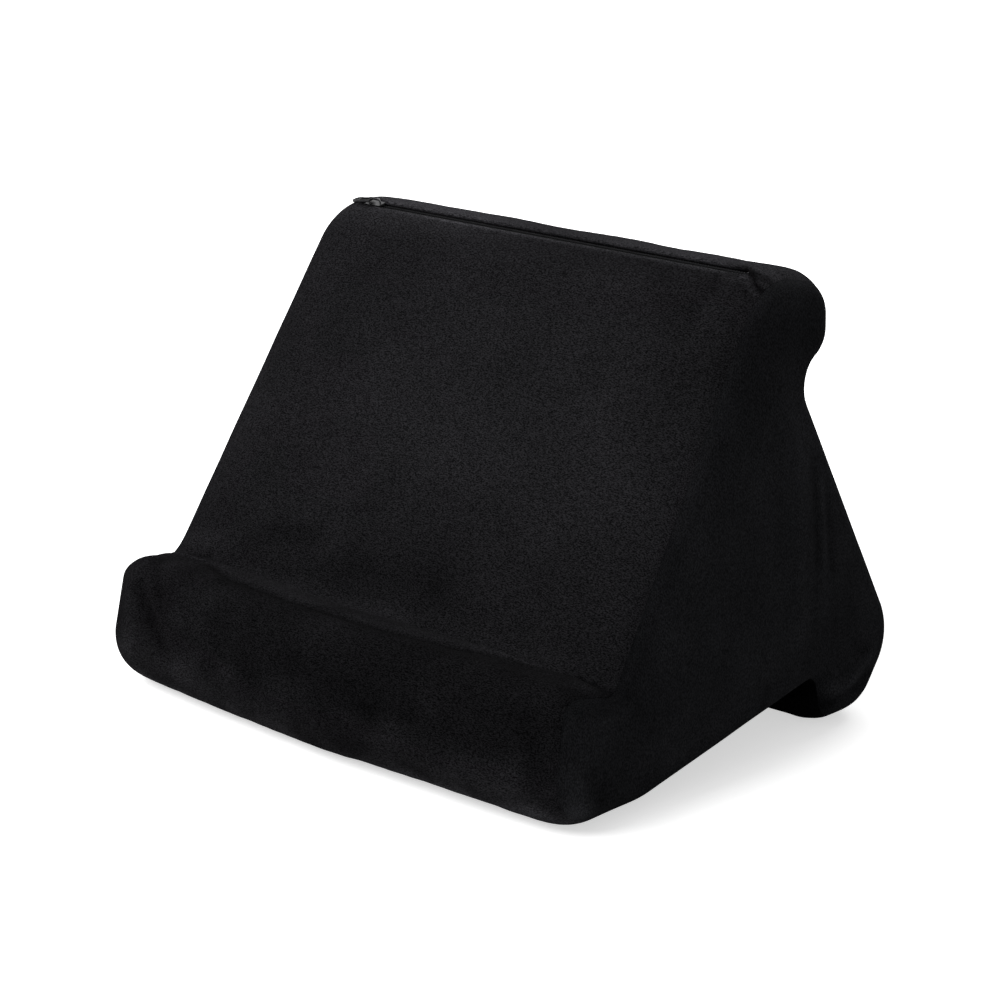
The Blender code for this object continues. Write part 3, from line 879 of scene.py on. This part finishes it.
def polygon_distance(spots, ring):
    """Distance inside a closed outline, negative outside it."""
    nearest = np.full(len(spots), np.inf)
    crossings = np.zeros(len(spots), int)
    for a, b in zip(ring, np.roll(ring, -1, 0)):
        side = b - a
        length2 = max(side @ side, 1e-18)
        t = np.clip(((spots - a) @ side) / length2, 0, 1)
        nearest = np.minimum(nearest, np.linalg.norm(spots - a - t[:, None] * side, axis=1))
        straddles = (a[1] > spots[:, 1]) != (b[1] > spots[:, 1])
        if side[1] != 0:
            cross = a[0] + (spots[:, 1] - a[1]) * side[0] / side[1]
            crossings += straddles & (spots[:, 0] < cross)
    return np.where(crossings % 2 == 1, nearest, -nearest)


def end_relief(points, depth_in):
    """The end panel's crown and its soft upright ripples."""
    inner = rise(depth_in, 0.0, 0.012)
    crown = END_CROWN * (1 - np.exp(-depth_in / END_CROWN_SLOPE))
    ripple = 0.0007 * soft_noise(points * np.array([1.0, 1.0, 0.35]), 0.020, 6)
    for y0, z0, y1, z1, width, height, _ in END_MARKS:
        ripple += height * bell(line_distance(points[:, 1], points[:, 2], y0, z0, y1, z1), 0, width)
    return crown + inner * ripple


# Materials

# The pile's colour between its hairs, at their tips and on the whole
PILE_DEEP = (0.0031, 0.0030, 0.0033)
PILE_TIPS = (0.0203, 0.0194, 0.0215)
PILE_MEAN = (0.0117, 0.0112, 0.0124, 1)

# A Mix node's colour sockets
MIX_A, MIX_B, MIX_COLOR = 6, 7, 2


def grey(value):
    """A colour with no hue."""
    return (value, value, value)


def feed(tree, socket, value):
    """Links a socket to the one given, or sets it to a constant."""
    if isinstance(value, bpy.types.NodeSocket):
        tree.links.new(value, socket)
    else:
        socket.default_value = value


def math_node(tree, operation, first, second):
    """The result of an operation on two values."""
    node = tree.nodes.new("ShaderNodeMath")
    node.operation = operation
    tree.links.new(first, node.inputs[0])
    tree.links.new(second, node.inputs[1])
    return node.outputs[0]


def mix_shaders(tree, factor, first, second, output):
    """Puts two shaders, mixed by a factor, on the tree's output."""
    mix = tree.nodes.new("ShaderNodeMixShader")
    tree.links.new(factor, mix.inputs[0])
    tree.links.new(first.outputs[0], mix.inputs[1])
    tree.links.new(second.outputs[0], mix.inputs[2])
    tree.links.new(mix.outputs[0], tree.nodes[output].inputs["Surface"])


def new_material(name):
    """A material, its nodes and its shader."""
    material = bpy.data.materials.new(name)
    material.use_nodes = True
    tree = material.node_tree
    return material, tree, tree.nodes["Principled BSDF"]


def noise_node(tree, vector, scale, detail, roughness=0.5):
    """Smooth noise from 0 to 1."""
    node = tree.nodes.new("ShaderNodeTexNoise")
    feed(tree, node.inputs["Scale"], scale)
    node.inputs["Detail"].default_value = detail
    node.inputs["Roughness"].default_value = roughness
    tree.links.new(vector, node.inputs["Vector"])
    return node.outputs["Fac"]


def mapping(tree, source, scale=(1, 1, 1), rotation=(0, 0, 0)):
    """The places with their axes scaled, or turned."""
    node = tree.nodes.new("ShaderNodeMapping")
    feed(tree, node.inputs["Scale"], scale)
    node.inputs["Rotation"].default_value = rotation
    tree.links.new(source, node.inputs["Vector"])
    return node.outputs["Vector"]


def ramp(tree, value, low, high, dark, light):
    """Dark up to low, light from high, and between them in step with the value."""
    node = tree.nodes.new("ShaderNodeValToRGB")
    node.color_ramp.elements[0].position = low
    node.color_ramp.elements[1].position = high
    node.color_ramp.elements[0].color = (*dark, 1)
    node.color_ramp.elements[1].color = (*light, 1)
    tree.links.new(value, node.inputs["Fac"])
    return node.outputs["Color"]


def multiply(tree, first, second):
    """The product of two colours."""
    mix = tree.nodes.new("ShaderNodeMix")
    mix.data_type = "RGBA"
    mix.blend_type = "MULTIPLY"
    mix.inputs["Factor"].default_value = 1.0
    tree.links.new(first, mix.inputs[MIX_A])
    tree.links.new(second, mix.inputs[MIX_B])
    return mix.outputs[MIX_COLOR]


def bump(tree, height, strength, distance, normal=None):
    """Normals that follow a height, over others if they are given."""
    node = tree.nodes.new("ShaderNodeBump")
    node.inputs["Strength"].default_value = strength
    node.inputs["Distance"].default_value = distance
    tree.links.new(height, node.inputs["Height"])
    if normal:
        tree.links.new(normal, node.inputs["Normal"])
    return node.outputs["Normal"]


def new_group(name, inputs, outputs):
    """An empty shader node group with these named sockets, and its input and output nodes."""
    group = bpy.data.node_groups.new(name, "ShaderNodeTree")
    for label, kind, value in inputs:
        group.interface.new_socket(label, in_out="INPUT", socket_type=kind).default_value = value
    for label, kind in outputs:
        group.interface.new_socket(label, in_out="OUTPUT", socket_type=kind)
    return group, group.nodes.new("NodeGroupInput").outputs, group.nodes.new("NodeGroupOutput").inputs


def place_group(tree, group, **values):
    """Puts a group in a material; a value is a socket to link or a number, vector or colour."""
    node = tree.nodes.new("ShaderNodeGroup")
    node.node_tree = group
    for label, value in values.items():
        feed(tree, node.inputs[label.replace("_", " ")], value)
    return node.outputs


def mixed(tree, factor, first, second):
    """A colour between two: each of the three is a socket, or a constant colour or number."""
    mix = tree.nodes.new("ShaderNodeMix")
    mix.data_type = "RGBA"
    feed(tree, mix.inputs[0], factor)
    feed(tree, mix.inputs[MIX_A], first)
    feed(tree, mix.inputs[MIX_B], second)
    return mix.outputs[MIX_COLOR]


def pile_group():
    """Short black pile: fine grain drawn out along the pile's lie, clumps that lean apart, patchy
    brushing, times the given tone and painted light.
    """
    group, given, made = new_group(
        "plush_pile",
        (
            ("Place", "NodeSocketVector", (0, 0, 0)),
            ("Nap direction", "NodeSocketVector", (1, 1, 1)),
            ("Contrast", "NodeSocketFloat", 1.0),
            ("Brushed", "NodeSocketFloat", 1.0),
            ("Cast", "NodeSocketColor", (1, 1, 1, 1)),
        ),
        (("Color", "NodeSocketColor"), ("Normal", "NodeSocketVector")),
    )
    drawn_out = mapping(group, given["Place"], given["Nap direction"])
    fibres = noise_node(group, drawn_out, scale=2500, detail=1)
    tufts = noise_node(group, drawn_out, scale=900, detail=1)
    clumps = noise_node(group, drawn_out, scale=240, detail=2)
    patches = noise_node(group, given["Place"], scale=26, detail=3, roughness=0.55)
    grain = ramp(group, fibres, 0.37, 0.63, PILE_DEEP, PILE_TIPS)
    grain = multiply(group, grain, ramp(group, tufts, 0.34, 0.66, grey(0.9), grey(1.1)))
    colour = mixed(group, given["Contrast"], PILE_MEAN, grain)
    tint = ramp(group, patches, 0.35, 0.7, grey(0.9), (1.1, 1.09, 1.1))
    colour_with_painted_light = multiply(group, multiply(group, colour, tint), given["Brushed"])
    colour_with_painted_light = multiply(group, colour_with_painted_light, given["Cast"])
    coarse = bump(group, clumps, strength=0.35, distance=0.0006)
    group.links.new(colour_with_painted_light, made["Color"])
    fine = bump(group, fibres, strength=0.6, distance=0.0004, normal=coarse)
    group.links.new(fine, made["Normal"])
    return group


def grain_group():
    """Fine grain and handling marks: colour, roughness and bump that change over the surface."""
    group, given, made = new_group(
        "fine_grain",
        (
            ("Place", "NodeSocketVector", (0, 0, 0)),
            ("Size", "NodeSocketFloat", 400.0),
            ("Dark", "NodeSocketColor", (0, 0, 0, 1)),
            ("Light", "NodeSocketColor", (1, 1, 1, 1)),
            ("Smoothest", "NodeSocketFloat", 0.4),
            ("Roughest", "NodeSocketFloat", 0.6),
        ),
        (
            ("Color", "NodeSocketColor"),
            ("Roughness", "NodeSocketFloat"),
            ("Normal", "NodeSocketVector"),
        ),
    )
    spots = noise_node(group, given["Place"], scale=given["Size"], detail=3)
    marks = noise_node(group, given["Place"], scale=180, detail=4, roughness=0.6)
    share = ramp(group, spots, 0.3, 0.7, grey(0), grey(1))
    group.links.new(mixed(group, share, given["Dark"], given["Light"]), made["Color"])
    handled = group.nodes.new("ShaderNodeMapRange")
    group.links.new(marks, handled.inputs["Value"])
    handled.inputs["From Min"].default_value = 0.35
    handled.inputs["From Max"].default_value = 0.65
    group.links.new(given["Smoothest"], handled.inputs["To Min"])
    group.links.new(given["Roughest"], handled.inputs["To Max"])
    group.links.new(handled.outputs[0], made["Roughness"])
    group.links.new(bump(group, spots, strength=0.2, distance=0.0001), made["Normal"])
    return group


def plush_material(name, pile, direction, contrast, cast):
    """Black plush whose colour follows the pile's tone and the painted light and shade stored at each
    point.
    """
    material, tree, shader = new_material(name)
    where = tree.nodes.new("ShaderNodeTexCoord").outputs["Object"]
    tone_and_painted_light = tree.nodes.new("ShaderNodeAttribute")
    tone_and_painted_light.attribute_name = "tone_and_painted_light"
    made = place_group(
        tree, pile, Place=where, Nap_direction=direction, Contrast=contrast,
        Brushed=tone_and_painted_light.outputs["Fac"], Cast=(*cast, 1),
    )
    tree.links.new(made["Color"], shader.inputs["Base Color"])
    tree.links.new(made["Normal"], shader.inputs["Normal"])
    shader.inputs["Roughness"].default_value = 0.95
    shader.inputs["Specular IOR Level"].default_value = 0.0
    shader.inputs["Sheen Weight"].default_value = 0.008
    shader.inputs["Sheen Roughness"].default_value = 0.45
    shader.inputs["Sheen Tint"].default_value = (1.0, 0.97, 1.0, 1)
    return material


def fine_material(name, grain, colour, spread, size, smoothest, roughest, metallic=0.0):
    """A plain finish with its grain, from a colour and how far the grain strays from it."""
    material, tree, shader = new_material(name)
    where = tree.nodes.new("ShaderNodeTexCoord").outputs["Object"]
    dark = (*(c * (1 - spread) for c in colour), 1)
    light = (*(c * (1 + spread) for c in colour), 1)
    made = place_group(
        tree, grain, Place=where, Size=size, Dark=dark, Light=light,
        Smoothest=smoothest, Roughest=roughest,
    )
    tree.links.new(made["Color"], shader.inputs["Base Color"])
    tree.links.new(made["Roughness"], shader.inputs["Roughness"])
    tree.links.new(made["Normal"], shader.inputs["Normal"])
    shader.inputs["Metallic"].default_value = metallic
    shader.inputs["Specular IOR Level"].default_value = 0.5 if metallic else 0.1
    return material


def weave_tape(material):
    """Adds the tape's herringbone ribs to its bump and colour."""
    tree = material.node_tree
    shader = tree.nodes["Principled BSDF"]
    where = tree.nodes.new("ShaderNodeTexCoord").outputs["Object"]
    heights = []
    for lean in (0.6, -0.6):
        ribs = tree.nodes.new("ShaderNodeTexWave")
        ribs.inputs["Scale"].default_value = 300
        ribs.inputs["Distortion"].default_value = 0.4
        tree.links.new(mapping(tree, where, rotation=(0, 0, lean)), ribs.inputs["Vector"])
        heights.append(ribs.outputs["Fac"])
    over = math_node(tree, "MAXIMUM", heights[0], heights[1])
    grain_normal = shader.inputs["Normal"].links[0].from_socket
    ribbed = bump(tree, over, strength=0.5, distance=0.0002, normal=grain_normal)
    tree.links.new(ribbed, shader.inputs["Normal"])
    colour = shader.inputs["Base Color"].links[0].from_socket
    threads = ramp(tree, over, 0.2, 0.9, grey(0.55), grey(1.2))
    tree.links.new(multiply(tree, colour, threads), shader.inputs["Base Color"])


def repaint(node, material):
    """Gives a metal or woven part of the zip its finish."""
    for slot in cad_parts[node].material_slots:
        slot.material = material


# The ground, the light and the camera

# The ground's half width, and how far it lies under the object
GROUND_HALF = 3.4
GROUND_DROP = 0.0002


def seen_directly(tree):
    """1 for rays from the camera, a mirror finish or glass, and 0 for the light's own bounces."""
    path = tree.nodes.new("ShaderNodeLightPath").outputs
    total = path["Is Camera Ray"]
    for label in ("Is Glossy Ray", "Is Transmission Ray"):
        total = math_node(tree, "MAXIMUM", total, path[label])
    return total


def clear_from_below(tree, shader):
    """Lets the camera see the underside of the object through the back of the ground."""
    from_camera = tree.nodes.new("ShaderNodeLightPath").outputs["Is Camera Ray"]
    from_behind = tree.nodes.new("ShaderNodeNewGeometry").outputs["Backfacing"]
    hidden = math_node(tree, "MULTIPLY", from_camera, from_behind)
    clear = tree.nodes.new("ShaderNodeBsdfTransparent")
    mix_shaders(tree, hidden, shader, clear, "Material Output")


def build_ground():
    """A white ground: the camera sees it lit up to white away from the object's shadow."""
    material, tree, shader = new_material("studio_floor")
    shader.inputs["Roughness"].default_value = 1.0
    shader.inputs["Specular IOR Level"].default_value = 0.0
    shader.inputs["Emission Color"].default_value = (1, 1, 1, 1)
    seen = seen_directly(tree)
    away = tree.nodes.new("ShaderNodeVectorMath")
    away.operation = "LENGTH"
    tree.links.new(tree.nodes.new("ShaderNodeTexCoord").outputs["Object"], away.inputs[0])
    spread = tree.nodes.new("ShaderNodeMapRange")
    tree.links.new(away.outputs["Value"], spread.inputs["Value"])
    for label, value in (("From Min", 0.35), ("From Max", 1.4), ("To Min", 0.58), ("To Max", 1.0)):
        spread.inputs[label].default_value = value
    glow = math_node(tree, "MULTIPLY", seen, spread.outputs[0])
    tree.links.new(glow, shader.inputs["Emission Strength"])
    white = mixed(tree, seen, (*grey(0.6), 1), (*grey(0.9), 1))
    tree.links.new(white, shader.inputs["Base Color"])
    clear_from_below(tree, shader)
    points = np.array([(-1, -1, 0), (1, -1, 0), (1, 1, 0), (-1, 1, 0)]) * GROUND_HALF
    ground = mesh_object("studio_floor", points, [[0, 1, 2, 3]], None, material)
    ground.location.z = -GROUND_DROP


def build_light():
    """White surroundings, a large soft light in front and a weaker one behind."""
    world = bpy.data.worlds.new("studio")
    bpy.context.scene.world = world
    world.use_nodes = True
    tree = world.node_tree
    lighting = tree.nodes["Background"]
    showing = tree.nodes.new("ShaderNodeBackground")
    for background, strength in ((lighting, 0.3), (showing, 1.0)):
        background.inputs["Color"].default_value = (1, 1, 1, 1)
        background.inputs["Strength"].default_value = strength
    mix_shaders(tree, seen_directly(tree), lighting, showing, "World Output")
    target = Vector((0, 0, 0.1))
    lights = (
        ("key", (-0.65, -1.15, 1.35), 1.5, 36.0),
        ("back", (-0.30, 1.50, 1.20), 1.2, 20.0),
    )
    for name, spot, size, power in lights:
        data = bpy.data.lights.new(name, "AREA")
        data.shape = "DISK"
        data.size = size
        data.energy = power
        lamp = bpy.data.objects.new(name, data)
        lamp.location = spot
        lamp.rotation_euler = (target - Vector(spot)).to_track_quat("-Z", "Y").to_euler()
        bpy.context.scene.collection.objects.link(lamp)


def build_camera():
    """The photograph's viewpoint, fitted to the outline of the whole object."""
    data = bpy.data.cameras.new("camera")
    data.sensor_width = 36.0
    data.lens = 105.82
    camera = bpy.data.objects.new("camera", data)
    camera.location = (0.9066, -0.97213, 0.49818)
    camera.rotation_euler = (math.radians(90 - 16.81), 0.0, math.radians(42.80))
    bpy.context.scene.collection.objects.link(camera)
    bpy.context.scene.camera = camera


build_camera()
build_ground()
build_light()
bpy.context.scene.view_settings.view_transform = "Standard"

pile = pile_group()
grain = grain_group()
plush_along = plush_material("plush_band_pile", pile, (0.38, 1.0, 1.0), 0.95, (0.985, 1.01, 1.0))
plush_upright = plush_material("plush_end_pile", pile, (1.0, 0.75, 0.42), 0.62, (0.985, 1.05, 1.035))
tape_material = fine_material("woven_tape", grain, (0.012, 0.012, 0.013), 0.3, 1600, 0.75, 0.9)
weave_tape(tape_material)
coil_material = fine_material("nylon_coil", grain, (0.010, 0.010, 0.011), 0.1, 400, 0.5, 0.7)
metal_material = fine_material("dark_nickel", grain, (0.060, 0.060, 0.063), 0.15, 900, 0.3, 0.5, 1.0)
black_material = fine_material("black_enamel", grain, (0.010, 0.010, 0.011), 0.15, 900, 0.4, 0.65)
foam_material = fine_material("open_cell_foam", grain, (0.32, 0.32, 0.33), 0.25, 700, 0.85, 0.95)

swell = simulate_cover(foam_material)
band = build_band(plush_along, swell)
right_end = build_end("plush_end_right", 1, plush_upright, swell)
left_end = build_end("plush_end_left", -1, plush_upright, swell)
core = build_core(foam_material)
for side, row in ((-1, "front"), (1, "rear")):
    coil = build_coil(f"coil_{row}", side, coil_material)
    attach(coil, "cushion")
    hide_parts(f"zip_coil_{row}")
for piece, node, slot in (
    (core, "foam_core", "foam"),
    (band, "cover_band", "plush_band"),
    (right_end, "end_panel_right", "plush_end"),
    (left_end, "end_panel_left", "plush_end"),
):
    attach(piece, "cushion")
    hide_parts(node)

for node, material in (
    ("zip_tape_front", tape_material),
    ("zip_tape_rear", tape_material),
    ("zip_top_stop_front", black_material),
    ("zip_top_stop_rear", black_material),
    ("zip_bottom_stop", black_material),
    ("zip_slider", metal_material),
    ("zip_puller", black_material),
):
    repaint(node, material)
